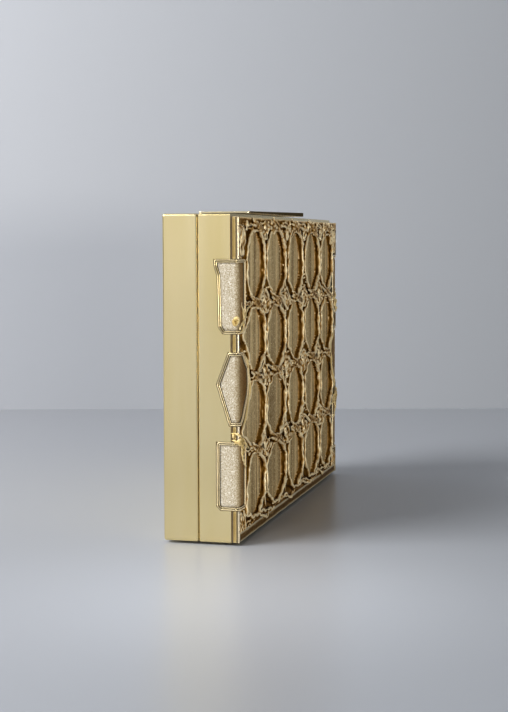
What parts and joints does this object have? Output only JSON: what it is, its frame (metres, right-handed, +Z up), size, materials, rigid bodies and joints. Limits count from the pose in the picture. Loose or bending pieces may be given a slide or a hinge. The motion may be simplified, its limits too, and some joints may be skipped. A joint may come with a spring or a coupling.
{
  "type": "evening bag",
  "caption": "Hard metal box clutch with a bottom hinge, a thumb bar clasp and an openwork cast front over glitter fabric.",
  "frame": {"origin": "centre of the bounding box in plan, on the surface that the four feet stand on", "axes": "+Z up, -Y towards the openwork front, +X along the width with the thumb bar on the -X side"},
  "size_m": [0.176, 0.033, 0.1225],
  "materials": {
    "polished_gold": "mirror polished pale gold",
    "polished_trim": "polished pale gold",
    "bezel_gold": "bright polished edge with dark antique groove",
    "antique_gold": "cast and antiqued, bright on the ridges and dark in the hollows",
    "glitter_fabric": "champagne metallic woven cloth with glitter",
    "lining_fabric": "fine satin lining",
    "backing_board": "plain board",
    "plain_brass": "satin",
    "steel_pin": "drawn",
    "spring_steel": "drawn wire"
  },
  "bodies": {
    "back_half": {"back_lining": "lining_fabric", "back_lining_valance": "lining_fabric", "back_shell": "polished_gold", "clasp_mount": "plain_brass", "clasp_pin": "steel_pin", "clasp_spring": "spring_steel", "closing_lip": "polished_trim", "feet_back": "plain_brass", "hinge_leaf_back": "plain_brass", "hinge_pin": "steel_pin", "hinge_rivets_back": "plain_brass"},
    "front_half": {"bottom_border": "antique_gold", "clasp_keeper": "polished_trim", "corner_strips_left": "bezel_gold", "corner_strips_right": "bezel_gold", "feet_front": "plain_brass", "front_board": "backing_board", "front_fabric": "glitter_fabric", "front_lattice": "antique_gold", "front_lining": "lining_fabric", "front_shell": "polished_gold", "hinge_leaf_front": "plain_brass", "hinge_rivets_front": "plain_brass", "lattice_nuggets": "antique_gold", "top_border": "antique_gold", "window_bezel_left_bottom": "bezel_gold", "window_bezel_left_middle": "bezel_gold", "window_bezel_left_top": "bezel_gold", "window_bezel_right_bottom": "bezel_gold", "window_bezel_right_middle": "bezel_gold", "window_bezel_right_top": "bezel_gold", "window_pad_left_bottom": "glitter_fabric", "window_pad_left_middle": "glitter_fabric", "window_pad_left_top": "glitter_fabric", "window_pad_right_bottom": "glitter_fabric", "window_pad_right_middle": "glitter_fabric", "window_pad_right_top": "glitter_fabric"},
    "thumb_bar": {"clasp_bar": "polished_trim", "clasp_hook": "polished_trim"}
  },
  "joints": [
    {"name": "front_opening", "type": "hinge", "parent": "back_half", "child": "front_half", "pos_m": [0, 0.0031, 0.0011], "axis": [1, 0, 0], "range_deg": [0, 80]},
    {"name": "bar_lift", "type": "hinge", "parent": "back_half", "child": "thumb_bar", "pos_m": [-0.035, 0.008, 0.1186], "axis": [-1, 0, 0], "range_deg": [0, 20], "stiffness_Nm_per_rad": 0.02, "springref_deg": -28.65}
  ]
}
